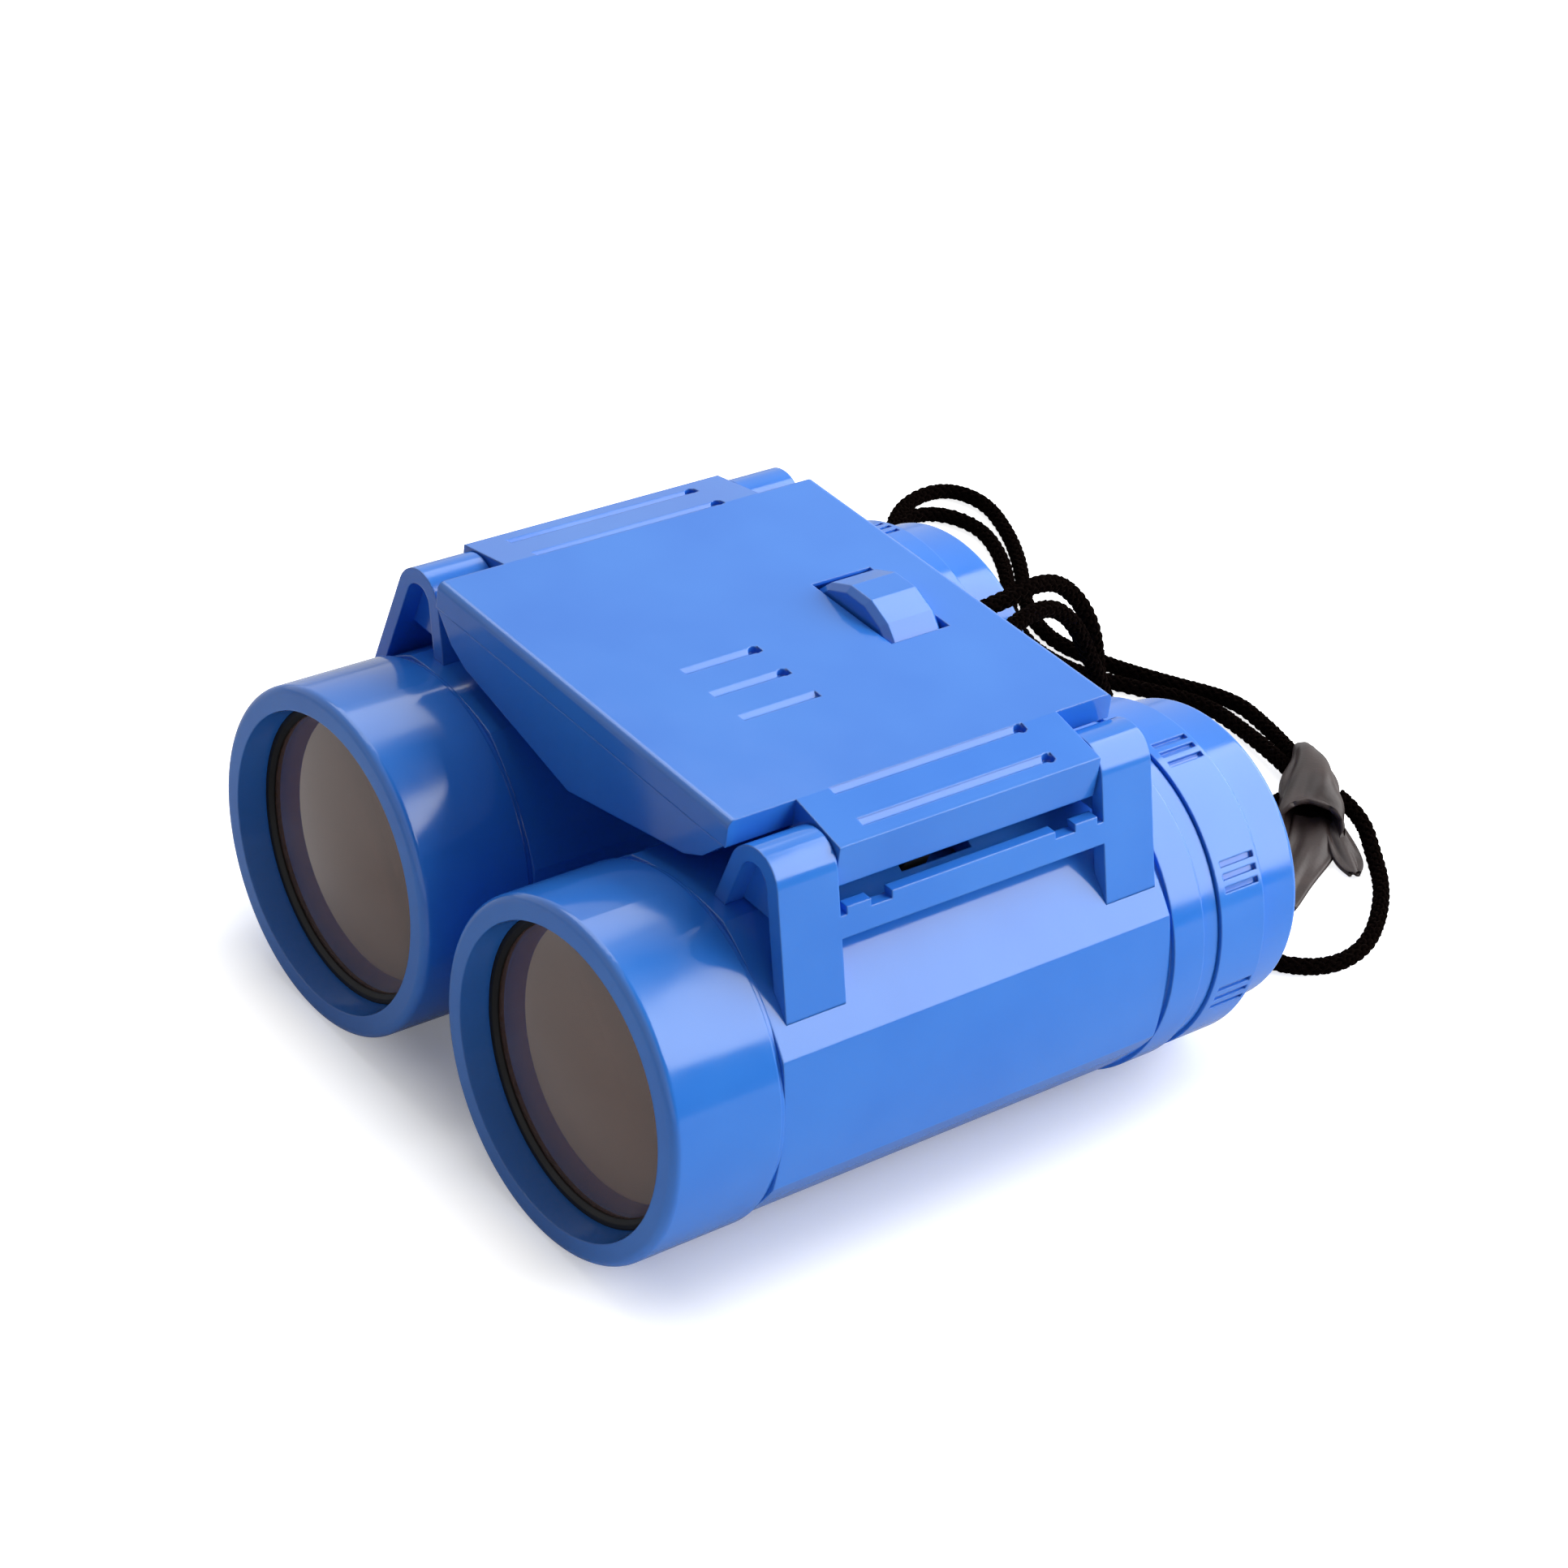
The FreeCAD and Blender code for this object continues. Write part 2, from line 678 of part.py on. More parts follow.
def cover_screws():
    """Four alike screws, driven up through the lower cover."""
    seat = boss_meet_z - head_floor
    screws = []
    for x, y in screw_spots:
        head = upright(seat - screw_head_t, seat, screw_head_r, x, y)
        shank = upright(seat, plate_z - cover_t - screw_tip_gap, screw_shank_r, x, y)
        screws.append(head.fuse(shank).removeSplitter())
    return Part.makeCompound(screws)


# Focus wheel, its shaft and the carriage that the shaft's thread drives
wheel_sides = 16
wheel_chamfer = 0.8
nut_half = 4.6
nut_drop = 3.4
bar_gap = 1.1
bar_height = 2.3
yoke_reach = 7.6
sleeve_r = 2.5

bar_top_z = plate_z - cover_t - bar_gap
bar_bottom_z = bar_top_z - bar_height
nut_bottom_z = wheel_z - nut_drop
yoke_inner_x = hinge_x - yoke_reach


def focus_wheel():
    corners = []
    for index in range(wheel_sides):
        angle = math.radians((index + 1 / 2) * 360 / wheel_sides)
        corners.append((wheel_r * math.sin(angle), wheel_z + wheel_r * math.cos(angle)))
    wheel = prism(corners, y_wheel_front, y_wheel_rear)
    rim_edges = []
    for edge in wheel.Edges:
        if math.isclose(edge.BoundBox.YLength, 0, abs_tol=seat_gap):
            rim_edges.append(edge)
    wheel = wheel.makeChamfer(wheel_chamfer, rim_edges)
    bore = cylinder(y_wheel_front - overrun, y_wheel_rear + overrun, shaft_r + seat_gap, 0, wheel_z)
    return wheel.cut(bore)


def wheel_shaft():
    front, rear = y_bearings
    middle = cylinder(front + bearing_length + bearing_gap, rear - bearing_gap, shaft_r, 0, wheel_z)
    journals = cylinder(front - bearing_gap, rear + bearing_length + bearing_gap, journal_r, 0, wheel_z)
    return middle.fuse(journals).removeSplitter()


def focus_carriage():
    """A nut on the shaft, with a bar to a forked sleeve on each hinge pin."""
    carriage = box(-nut_half, nut_half, y_carriage, y_carriage_end, nut_bottom_z, bar_top_z)
    carriage = carriage.fuse(box(-yoke_inner_x, yoke_inner_x, y_arm, y_arm_end, bar_bottom_z, bar_top_z))
    fork_x = hinge_x - sleeve_r - axial_gap
    for side in (1, -1):
        inner, outer = sorted([side * yoke_inner_x, side * fork_x])
        carriage = carriage.fuse(box(inner, outer, y_carriage, y_carriage_end, hinge_z, bar_top_z))
        fork_ends = [(y_carriage, y_arm - arm_gap), (y_arm_end + arm_gap, y_carriage_end)]
        for y0, y1 in fork_ends:
            inner, outer = sorted([side * fork_x, side * hinge_x])
            carriage = carriage.fuse(box(inner, outer, y0, y1, hinge_z, hinge_z + sleeve_r))
            carriage = carriage.fuse(cylinder(y0, y1, sleeve_r, side * hinge_x, hinge_z))
        carriage = carriage.cut(cylinder(y_front, y_rear, pin_r + running_gap, side * hinge_x, hinge_z))
    bore = cylinder(y_front, y_rear, shaft_r + running_gap, 0, wheel_z)
    return carriage.cut(bore).removeSplitter()


for piece in (top_cover, lower_cover, cover_screws, focus_wheel, wheel_shaft, focus_carriage):
    save(piece(), piece.__name__)


# Neck cord: from a bush in the rear wall down to the floor, through its knot, and back
floor_z = 1.35
knot_z = 2.6
y_cord = y_plate_end - cover_t - bush_tail
arc_share = 0.45

outer_route = [
    (-bush_x, y_cord, bush_z), (-bush_x, 32, bush_z), (-4.4, 40, 48.2), (-6.6, 47.8, 47.4),
    (-7.7, 54.6, 43.6), (-7.2, 59.6, 36.6), (-6.9, 63, 28), (-7.4, 65.6, 19.4), (-10, 69.3, 11.4),
    (-15.5, 74.4, 5), (-24.4, 78.6, floor_z), (-37, 81.4, floor_z), (-52, 82, floor_z),
    (-66, 83, floor_z), (-78.4, 84.6, floor_z), (-89.6, 88.6, floor_z), (-96.2, 97.2, floor_z),
    (-97, 106.8, floor_z), (-91.4, 114.6, floor_z), (-82, 115.4, floor_z), (-73.2, 111.2, floor_z),
    (-65, 107, floor_z), (-57, 101, floor_z), (-48.2, 97.2, floor_z), (-39.5, 99.8, floor_z),
    (-31.2, 104.8, floor_z), (-22.5, 110.6, floor_z), (-14.4, 108.6, floor_z), (-8, 104.4, knot_z),
    (-2, 104.4, knot_z),
]
loop_route = [
    (6, 104.6, knot_z), (11.4, 104.6, knot_z), (17.4, 100.9, floor_z), (24.2, 95.6, floor_z),
    (29.8, 89.4, floor_z), (34.2, 82.2, floor_z), (35.2, 74.4, floor_z), (30.8, 67.8, floor_z),
    (23.2, 66.4, floor_z), (16.4, 70.6, floor_z), (11, 77, floor_z), (6.4, 84, floor_z),
    (2.4, 91.2, knot_z), (2.4, 98, knot_z),
]
inner_route = [
    (-2, 100, knot_z), (-7.2, 100, knot_z), (-15, 104.2, floor_z), (-23.2, 103.6, floor_z),
    (-31, 98.6, floor_z), (-39, 94.4, floor_z), (-47.6, 92.6, floor_z), (-56.4, 96.4, floor_z),
    (-64.2, 102.6, floor_z), (-72, 107.4, floor_z), (-80, 109.4, floor_z), (-87.5, 106.9, floor_z),
    (-90.8, 99.4, floor_z), (-87.7, 91.8, floor_z), (-80.1, 88.8, floor_z), (-72.7, 92.2, floor_z),
    (-65, 95.2, floor_z), (-57.6, 92.2, floor_z), (-50.4, 87.8, floor_z), (-40.6, 86.4, floor_z),
    (-29, 86.2, floor_z), (-18.6, 83.6, 2.2), (-9.6, 78.6, 6.4), (-4.4, 72.4, 12.6), (-2.6, 65.6, 19.8),
    (-2.4, 60.2, 28), (-2.7, 56, 36.4), (-2.9, 50.4, 43.4), (-2.2, 43.6, 47.2), (0.2, 37.2, 48.3),
    (bush_x, 31.4, bush_z), (bush_x, y_cord, bush_z),
]


def cord_path(route):
    """Straight runs of a route, joined by tangent arcs as large as the runs allow."""
    points = [Vector(*point) for point in route]
    edges = []
    tightest = math.inf
    here = points[0]
    for before, corner, after in zip(points, points[1:], points[2:]):
        back = before - corner
        ahead = after - corner
        reach = arc_share * min(back.Length, ahead.Length)
        turn = math.pi - back.getAngle(ahead)
        radius = reach / math.tan(turn / 2)
        tightest = min(tightest, radius)
        back.normalize()
        ahead.normalize()
        start = corner + back * reach
        end = corner + ahead * reach
        bisector = back + ahead
        bisector.normalize()
        middle = corner + bisector * (radius / math.cos(turn / 2) - radius)
        edges.append(Part.LineSegment(here, start).toShape())
        edges.append(Part.Arc(start, middle, end).toShape())
        here = end
    edges.append(Part.LineSegment(here, points[-1]).toShape())
    return Part.Wire(edges), tightest


def cord(route):
    path, tightest = cord_path(route)
    first = Vector(*route[0])
    direction = Vector(*route[1]) - first
    section = Part.Wire([Part.makeCircle(cord_r, first, direction)])
    solid = path.makePipeShell([section], True, True)
    expected = math.pi * cord_r ** 2 * path.Length
    print("cord length", round(path.Length, 1), "tightest", round(tightest, 1),
          "volume share", round(solid.Volume / expected, 4))
    return solid


def neck_cord_outer():
    return cord(outer_route)


def neck_cord_loop():
    return cord(loop_route)


def neck_cord_inner():
    return cord(inner_route)


# Knot that ties the two stretches together, between the ends of the routes
knot_width = 8.1
knot_height = 6.0
knot_round = 1.2

knot_x0 = outer_route[-1][0]
knot_x1 = loop_route[0][0]
knot_y0 = loop_route[-1][1]

# Folded tab that leaves the knot's face and lies on the floor under the loop
tab_thickness = 0.9
tab_reach = 15.4
tab_drop = 17.4
tab_x_shares = [0, 0, 0.325, 0.584, 1, 0.682, 0.292]
tab_y_shares = [0.034, 0.241, 0.172, -0.247, -0.954, -1, -0.402]


def cord_knot():
    knot = box(knot_x0, knot_x1, knot_y0, knot_y0 + knot_width, 0, knot_height)
    return knot.makeFillet(knot_round, knot.Edges)


def cord_tab():
    points = []
    for x_share, y_share in zip(tab_x_shares, tab_y_shares):
        points.append(Vector(knot_x1 + x_share * tab_reach, knot_y0 + y_share * tab_drop, 0))
    face = Part.Face(Part.makePolygon(points + points[:1]))
    tab = face.extrude(Vector(0, 0, tab_thickness))
    return tab.cut(cord_knot())


def cord_bushes():
    """A flanged bush in each hole of the bridge's rear wall."""
    bushes = []
    for side in (1, -1):
        x = side * bush_x
        flange = cylinder(y_plate_end, y_plate_end + bush_flange_t, bush_flange_r, x, bush_z)
        sleeve = cylinder(y_cord, y_plate_end, cord_r + seat_gap + bush_wall, x, bush_z)
        bore = cylinder(y_cord - overrun, y_plate_end + overrun, cord_r + seat_gap, x, bush_z)
        bushes.append(flange.fuse(sleeve).cut(bore).removeSplitter())
    return Part.makeCompound(bushes)


def cord_end_knots():
    """A stopper knot on each end of the cord, inside the bridge."""
    knots = []
    for side in (1, -1):
        knot = cylinder(y_cord - end_knot_length, y_cord, end_knot_r, side * bush_x, bush_z)
        knots.append(chamfer_rim(knot, bush_wall, y_cord - end_knot_length, end_knot_r))
    return Part.makeCompound(knots)


for piece in (neck_cord_outer, neck_cord_loop, neck_cord_inner, cord_knot, cord_tab,
              cord_bushes, cord_end_knots):
    save(piece(), piece.__name__)
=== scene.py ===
import math

import bpy
import bmesh
from mathutils import Matrix, Quaternion, Vector


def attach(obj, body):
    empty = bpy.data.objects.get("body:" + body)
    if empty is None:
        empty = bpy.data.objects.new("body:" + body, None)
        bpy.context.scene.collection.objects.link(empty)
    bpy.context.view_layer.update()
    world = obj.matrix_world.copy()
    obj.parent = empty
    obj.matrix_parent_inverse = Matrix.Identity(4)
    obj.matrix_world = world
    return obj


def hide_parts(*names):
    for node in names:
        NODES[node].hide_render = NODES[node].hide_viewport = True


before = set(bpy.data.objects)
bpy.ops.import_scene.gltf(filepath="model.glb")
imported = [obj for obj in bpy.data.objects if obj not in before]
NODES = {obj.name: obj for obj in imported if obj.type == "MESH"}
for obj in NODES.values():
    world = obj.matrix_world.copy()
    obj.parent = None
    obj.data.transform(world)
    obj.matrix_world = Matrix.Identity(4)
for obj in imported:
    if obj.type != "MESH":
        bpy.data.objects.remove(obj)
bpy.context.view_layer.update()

# Toy binoculars: moulded blue barrels that fold on a bridge, a focus wheel and a knotted neck cord.
# Lengths are in millimetres, and become metres where a mesh, a curve or the camera is made. Only the lamps
# and the floor's radius are given in metres.
MM = 0.001

# The photograph's camera: its turn from the front, its height and its roll in degrees, and how far it stands
# back, aside and up from the point on the floor under the front rims
VIEW_AZIMUTH = 47.58
VIEW_ELEVATION = 32.98
VIEW_ROLL = 8.0
VIEW_DISTANCE = 492.92
VIEW_SIDE = 45.02
VIEW_RISE = 41.65
FRONT_RIM_DEPTH = 51.0
FOCAL_PIXELS = 4880.21
IMAGE_PIXELS = 1932
SENSOR_WIDTH = 36.0
NEAREST_SEEN = 10.0

# Neck cord: from the bridge's rear wall down to the floor, through its knot and back
CORD_RADIUS = 1.3
LINE_STEPS = 24

OUTER_ROUTE = [
    (-3.2, 24.2, 48.4), (-3.2, 32, 48.4), (-4.2, 40, 48.3), (-6.2, 47.5, 47.8), (-7.8, 54.5, 44.8),
    (-7.4, 60.5, 37.5), (-7.2, 63.5, 28), (-7.4, 65.5, 18.5), (-9.8, 69, 10.4), (-15, 74.3, 4.4),
    (-24, 79.1, 1.35), (-37, 82.4, 1.35), (-52, 84, 1.35), (-66, 86.2, 1.35), (-78, 90, 1.35),
    (-87.6, 96.4, 1.35), (-92.8, 104.6, 1.35), (-93.2, 112.6, 1.35), (-87, 115.8, 1.35),
    (-77.5, 112.8, 1.35), (-67.5, 107, 1.35), (-58.5, 99.8, 1.35), (-49, 96.5, 1.35), (-39.5, 99.7, 1.35),
    (-31.2, 104.6, 1.35), (-22.5, 110.8, 1.35), (-14.6, 110, 1.35), (-8.8, 107.6, 2.4), (-1, 104.6, 3.4),
]
LOOP_ROUTE = [
    (6, 104.6, 2.6), (11.4, 104, 2.6), (17.6, 100.3, 1.35), (24.2, 95.6, 1.35), (29.8, 89.4, 1.35),
    (34.2, 82.2, 1.35), (35.2, 74.4, 1.35), (30.8, 67.8, 1.35), (23.2, 66.4, 1.35), (16.4, 70.6, 1.35),
    (11, 77, 1.35), (6.4, 84, 1.35), (2.6, 91.2, 2.6), (2.4, 98, 2.6),
]
INNER_ROUTE = [
    (-0.5, 102.6, 2.6), (-7.6, 104.2, 2.4), (-15.4, 106.0, 1.35), (-23.6, 106.0, 1.35), (-31.3, 100.0, 1.35),
    (-39, 94.1, 1.35), (-48, 92.2, 1.35), (-57, 95.4, 1.35), (-64.8, 102, 1.35), (-72.6, 106.8, 1.35),
    (-80.6, 109.6, 1.35), (-87.6, 106.6, 1.35), (-88.8, 99.4, 1.35), (-82.8, 94.8, 1.35),
    (-74.4, 95.6, 1.35), (-66, 95.6, 1.35), (-57, 90.6, 1.35), (-46, 87.8, 1.35), (-33, 87, 1.35),
    (-20, 85.2, 1.6), (-10.2, 80.6, 3.2), (-4.6, 74.2, 8.4), (-3, 67.6, 16.2), (-2.7, 62.2, 25.2),
    (-2.9, 57.2, 34.2), (-3, 52.6, 41.8), (-2.4, 46.8, 46.4), (-0.2, 40.2, 48), (2.6, 33.4, 48.4),
    (3.2, 24.2, 48.4),
]


def linear(hex_colour):
    """Turns an sRGB hex colour into linear values with full alpha."""
    values = []
    for start in (1, 3, 5):
        part = int(hex_colour[start:start + 2], 16) / 255
        values.append(part / 12.92 if part <= 0.04045 else ((part + 0.055) / 1.055) ** 2.4)
    return (*values, 1.0)


def add_node(tree, kind, settings=None, links=None):
    """Adds a node, sets its properties and unlinked inputs, and joins its other inputs."""
    node = tree.nodes.new(kind)
    for name, value in (settings or {}).items():
        if isinstance(name, int) or name in node.inputs:
            node.inputs[name].default_value = value
        else:
            setattr(node, name, value)
    for name, source in (links or {}).items():
        tree.links.new(source, node.inputs[name])
    return node


def new_material(name):
    """An empty material, its tree, the place on the piece that patterns read, and the surface to fill."""
    material = bpy.data.materials.new(name)
    material.use_nodes = True
    tree = material.node_tree
    tree.nodes.clear()
    place = add_node(tree, "ShaderNodeTexCoord").outputs["Object"]
    surface = add_node(tree, "ShaderNodeOutputMaterial").inputs["Surface"]
    return material, tree, place, surface


# A noise pattern seldom goes beyond these values
PATTERN_LOW = 0.3
PATTERN_HIGH = 0.7


def clouded(tree, place, size, low, high):
    """A colour that drifts between two shades in clouds of this size, and the clouds themselves."""
    clouds = add_node(tree, "ShaderNodeTexNoise", {"Scale": 1 / (size * MM), "Detail": 2.0},
                      {"Vector": place})
    ramp = add_node(tree, "ShaderNodeValToRGB", links={"Fac": clouds.outputs["Fac"]})
    ends = ramp.color_ramp.elements
    ends[0].position = PATTERN_LOW
    ends[0].color = linear(low)
    ends[1].position = PATTERN_HIGH
    ends[1].color = linear(high)
    return ramp.outputs["Color"], clouds.outputs["Fac"]


# Moulded plastic. A polished tool leaves it glossy, an etched one matt. Its flow shows as faint clouds about
# 18 mm wide, handling as duller patches of 6 mm, and shrinkage as a trace of orange peel 2.5 mm across. The
# corners come out about 0.3 mm round and catch a thin bright line.
FLOW_SIZE = 18.0
HANDLING_SIZE = 6.0
PEEL_SIZE = 2.5
PEEL_HEIGHT = 0.05
CORNER_ROUND = 0.3
GLOSSY_MIRROR = 0.5
MATT_MIRROR = 0.25


def moulded_plastic(name, low, high, roughness_low, roughness_high, mirror=GLOSSY_MIRROR):
    material, tree, place, surface = new_material(name)
    colour, _ = clouded(tree, place, FLOW_SIZE, low, high)
    handling = add_node(tree, "ShaderNodeTexNoise",
                        {"Scale": 1 / (HANDLING_SIZE * MM), "Detail": 4.0, "Roughness": 0.6},
                        {"Vector": place})
    gloss = add_node(tree, "ShaderNodeMapRange",
                     {"From Min": PATTERN_LOW, "From Max": PATTERN_HIGH,
                      "To Min": roughness_low, "To Max": roughness_high},
                     {"Value": handling.outputs["Fac"]})
    peel = add_node(tree, "ShaderNodeTexNoise", {"Scale": 1 / (PEEL_SIZE * MM), "Detail": 0.0},
                    {"Vector": place})
    corners = add_node(tree, "ShaderNodeBevel", {"samples": 6, "Radius": CORNER_ROUND * MM})
    relief = add_node(tree, "ShaderNodeBump", {"Strength": 0.05, "Distance": PEEL_HEIGHT * MM},
                      {"Height": peel.outputs["Fac"], "Normal": corners.outputs["Normal"]})
    shader = add_node(tree, "ShaderNodeBsdfPrincipled", {"IOR": 1.53, "Specular IOR Level": mirror},
                      {"Base Color": colour, "Roughness": gloss.outputs["Result"],
                       "Normal": relief.outputs["Normal"]})
    tree.links.new(shader.outputs[0], surface)
    return material


# Cast acrylic. A tint darkens what is behind it, a hard coat mirrors the room once more, and wiping leaves
# smears about 18 mm wide that dull it a little.
SMEAR_SIZE = 18.0


def cast_acrylic(name, tint, clearness, roughness, coat):
    material, tree, place, surface = new_material(name)
    smears = add_node(tree, "ShaderNodeTexNoise", {"Scale": 1 / (SMEAR_SIZE * MM), "Detail": 3.0},
                      {"Vector": place})
    gloss = add_node(tree, "ShaderNodeMapRange", {"To Min": roughness, "To Max": 2 * roughness},
                     {"Value": smears.outputs["Fac"]})
    shader = add_node(tree, "ShaderNodeBsdfPrincipled",
                      {"Base Color": linear(tint), "IOR": 1.49, "Transmission Weight": clearness,
                       "Coat Weight": coat}, {"Roughness": gloss.outputs["Result"]})
    tree.links.new(shader.outputs[0], surface)
    return material


# Bright drawn wire and zinc-plated turned steel. Drawing and turning leave rings finer than the render
# shows, so they are drawn 0.39 mm apart, which is how often the wave repeats at this scale.
RING_SCALE = 800.0
RING_HEIGHT = 0.02


def drawn_steel(name, hex_colour, roughness):
    material, tree, place, surface = new_material(name)
    rings = add_node(tree, "ShaderNodeTexWave",
                     {"bands_direction": "Y", "Scale": RING_SCALE, "Distortion": 1.0}, {"Vector": place})
    relief = add_node(tree, "ShaderNodeBump", {"Strength": 0.1, "Distance": RING_HEIGHT * MM},
                      {"Height": rings.outputs["Fac"]})
    shader = add_node(tree, "ShaderNodeBsdfPrincipled",
                      {"Base Color": linear(hex_colour), "Metallic": 1.0, "Roughness": roughness},
                      {"Normal": relief.outputs["Normal"]})
    tree.links.new(shader.outputs[0], surface)
    return material


# Braided nylon: black filaments that take in nearly all light. The soft gloss along them is drawn as a faint
# sheen. They are finer than the render shows, so they are drawn 0.2 mm apart.
FILAMENT = 0.2
FILAMENT_HEIGHT = 0.08


def braided_nylon():
    material, tree, place, surface = new_material("braided_nylon")
    colour, filaments = clouded(tree, place, FILAMENT, "#040202", "#0E0908")
    relief = add_node(tree, "ShaderNodeBump", {"Strength": 0.35, "Distance": FILAMENT_HEIGHT * MM},
                      {"Height": filaments})
    shader = add_node(tree, "ShaderNodeBsdfPrincipled",
                      {"Roughness": 0.45, "Specular IOR Level": 0.0,
                       "Sheen Weight": 0.08, "Sheen Roughness": 0.35, "Sheen Tint": linear("#9A8478")},
                      {"Base Color": colour, "Normal": relief.outputs["Normal"]})
    tree.links.new(shader.outputs[0], surface)
    return material


# Soft vinyl: dark grey-brown sheet with a satin face, a pebbled grain of 0.5 mm and faint shades about 5 mm
# wide
GRAIN_SIZE = 0.5
GRAIN_HEIGHT = 0.05
SHADE_SIZE = 5.0


def soft_vinyl():
    material, tree, place, surface = new_material("soft_vinyl")
    colour, _ = clouded(tree, place, SHADE_SIZE, "#261D1C", "#3A2E2C")
    grain = add_node(tree, "ShaderNodeTexVoronoi", {"Scale": 1 / (GRAIN_SIZE * MM)}, {"Vector": place})
    relief = add_node(tree, "ShaderNodeBump", {"Strength": 0.25, "Distance": GRAIN_HEIGHT * MM},
                      {"Height": grain.outputs["Distance"]})
    shader = add_node(tree, "ShaderNodeBsdfPrincipled", {"Roughness": 0.42, "Specular IOR Level": 0.3},
                      {"Base Color": colour, "Normal": relief.outputs["Normal"]})
    tree.links.new(shader.outputs[0], surface)
    return material


def node_tree(name, sockets):
    """A Geometry Nodes tree with named inputs, and its group's input and output nodes."""
    tree = bpy.data.node_groups.new(name, "GeometryNodeTree")
    tree.is_modifier = True
    tree.interface.new_socket("Geometry", in_out="INPUT", socket_type="NodeSocketGeometry")
    for label, kind in sockets:
        tree.interface.new_socket(label, in_out="INPUT", socket_type="NodeSocket" + kind)
    tree.interface.new_socket("Geometry", in_out="OUTPUT", socket_type="NodeSocketGeometry")
    return tree, add_node(tree, "NodeGroupInput").outputs, add_node(tree, "NodeGroupOutput").inputs


def finished_tree(tree, geometry, given, result):
    """Ends a tree as every one ends: real geometry with its material, smooth."""
    smooth = add_node(tree, "GeometryNodeSetShadeSmooth", links={"Geometry": geometry})
    real = add_node(tree, "GeometryNodeRealizeInstances", links={"Geometry": smooth.outputs[0]})
    dressed = add_node(tree, "GeometryNodeSetMaterial",
                       links={"Geometry": real.outputs[0], "Material": given["Material"]})
    tree.links.new(dressed.outputs[0], result[0])


def grown(base, tree, values):
    """What a tree makes of an object, as a plain mesh with no modifier left."""
    modifier = base.modifiers.new(tree.name, "NODES")
    modifier.node_group = tree
    for item in tree.interface.items_tree:
        if item.in_out == "INPUT" and item.name in values:
            modifier[item.identifier] = values[item.name]
    bpy.context.view_layer.update()
    mesh = bpy.data.meshes.new_from_object(base.evaluated_get(bpy.context.evaluated_depsgraph_get()))
    base.modifiers.remove(modifier)
    return mesh


# A braid of twelve strands, six each way, which cross twelve times in a twist of 10 mm
STRAND_RADIUS = 0.34
STRAND_SIDES = 5
CORE_SIDES = 10
WEAVE_DEPTH = 0.12
TWIST_LENGTH = 10.0
BRAID_STEP = 0.24
STRANDS = 12

# Where a strand lies, sum by sum, from its number and the way along the cord. Odd strands wind the other way
# round, and each strand goes over one crossing and under the next.
BRAID_SUMS = (
    ("odd", "MODULO", "number", 2.0),
    ("way", "MULTIPLY_ADD", "odd", -2.0, 1.0),
    ("pair", "SUBTRACT", "number", "odd"),
    ("pair turn", "MULTIPLY", "pair", math.tau),
    ("start", "DIVIDE", "pair turn", "Strands"),
    ("run", "MULTIPLY", "along", math.tau),
    ("turn", "DIVIDE", "run", "Twist Length"),
    ("angle", "MULTIPLY_ADD", "turn", "way", "start"),
    ("strands each way", "DIVIDE", "Strands", 2.0),
    ("crossing", "MULTIPLY", "turn", "strands each way"),
    ("over", "COSINE", "crossing"),
    ("over or under", "MULTIPLY", "over", "way"),
    ("lift", "MULTIPLY", "over or under", "Weave Depth"),
    ("outermost", "SUBTRACT", "Radius", "Strand Radius"),
    ("core", "SUBTRACT", "outermost", "Weave Depth"),
    ("reach", "ADD", "core", "lift"),
    ("cosine", "COSINE", "angle"),
    ("sine", "SINE", "angle"),
    ("out", "MULTIPLY", "cosine", "reach"),
    ("aside", "MULTIPLY", "sine", "reach"),
)


